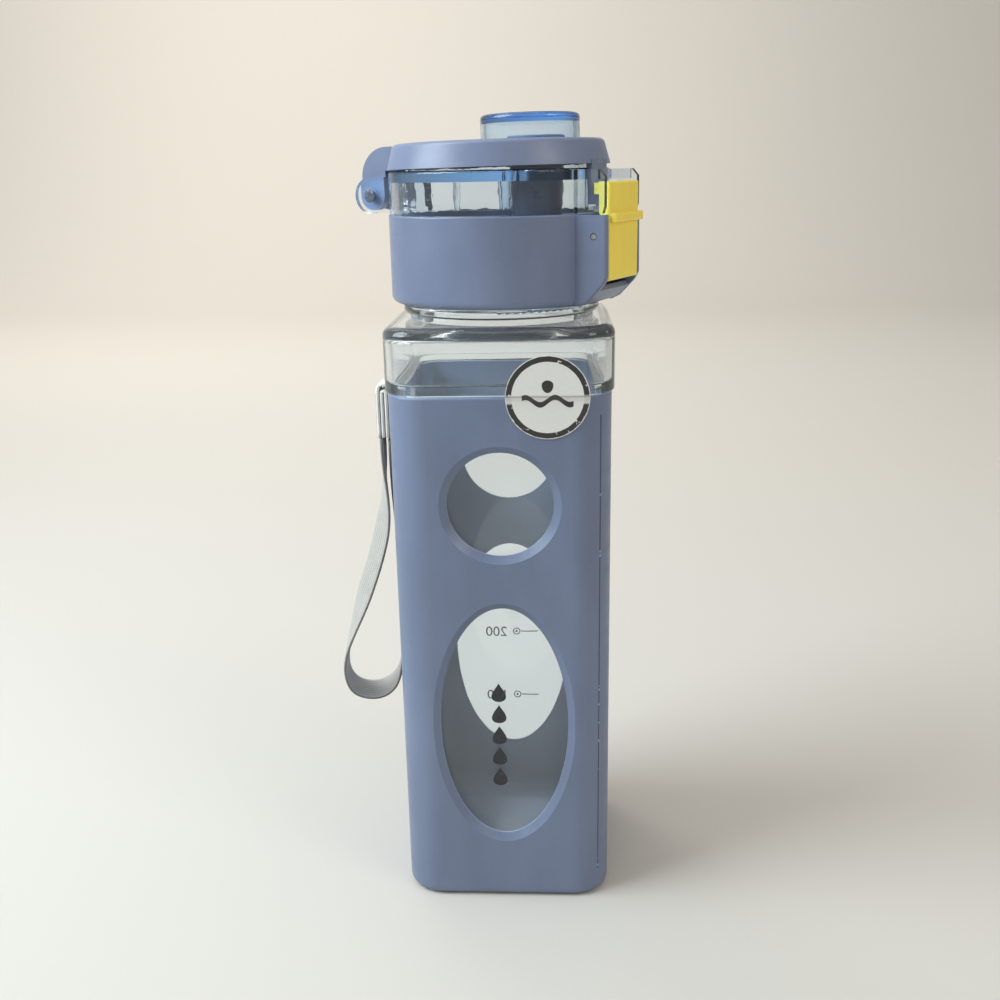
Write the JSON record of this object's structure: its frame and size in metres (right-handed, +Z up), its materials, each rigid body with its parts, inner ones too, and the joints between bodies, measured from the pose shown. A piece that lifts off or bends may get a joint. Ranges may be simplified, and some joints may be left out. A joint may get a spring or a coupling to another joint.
{
  "type": "glass water bottle",
  "caption": "Square glass water bottle in a windowed moulded sleeve, with a screw lid, sprung flip cover over the spout, catch lever and wrist strap.",
  "frame": {"origin": "middle of the sleeve's foot, on the surface that the bottle stands on", "axes": "+Z up; the front face of the sleeve faces -Y; +X to the right; the lid's latch points 27 degrees clockwise from +X seen from above"},
  "size_m": [0.0997, 0.0699, 0.2517],
  "materials": {
    "clear_glass": "polished clear glass",
    "sleeve_blue": "satin blue-grey moulding",
    "lid_blue": "satin blue-grey moulding",
    "clear_blue": "clear, faintly blue",
    "inner_grey": "satin",
    "liner": "satin",
    "silicone": "matt silicone",
    "gasket": "translucent silicone",
    "yellow": "gloss yellow",
    "steel": "bright pin",
    "webbing": "flat woven webbing",
    "label": "printed round label"
  },
  "bodies": {
    "bottle": {"glass_bottle": "clear_glass", "sleeve": "sleeve_blue", "round_label": "label", "strap_anchor": "webbing", "wrist_strap": "webbing"},
    "seal": {"neck_gasket": "gasket"},
    "lid": {"cap_skirt": "lid_blue", "cap_liner": "liner", "lid_deck": "clear_blue", "mouth_spout": "inner_grey", "vent_tube": "clear_blue", "hinge_pin": "steel", "latch_pin": "steel"},
    "cover": {"flip_cover": "lid_blue", "cover_dome": "clear_blue", "spout_plug": "silicone", "hinge_spring": "steel"},
    "latch": {"latch_lever": "yellow", "latch_spring": "steel"}
  },
  "joints": [
    {"name": "lid_lift", "type": "slide", "parent": "bottle", "child": "seal", "axis": [0, 0, 1], "range_m": [0, 0.0075]},
    {"name": "lid_screw", "type": "hinge", "parent": "seal", "child": "lid", "pos_m": [0, 0, 0.2], "axis": [0, 0, 1], "range_deg": [0, 452]},
    {"name": "cover_hinge", "type": "hinge", "parent": "lid", "child": "cover", "pos_m": [-0.03831, 0.01952, 0.2286], "axis": [-0.454, -0.891, 0], "range_deg": [0, 170]},
    {"name": "latch_press", "type": "hinge", "parent": "lid", "child": "latch", "pos_m": [0.03359, -0.01711, 0.217], "axis": [0.454, 0.891, 0], "range_deg": [0, 10], "stiffness_Nm_per_rad": 0.05, "springref_deg": -11.46}
  ],
  "couplings": [
    {"joint": "lid_screw", "follows": "lid_lift", "rad_per_m": 1047.2}
  ]
}
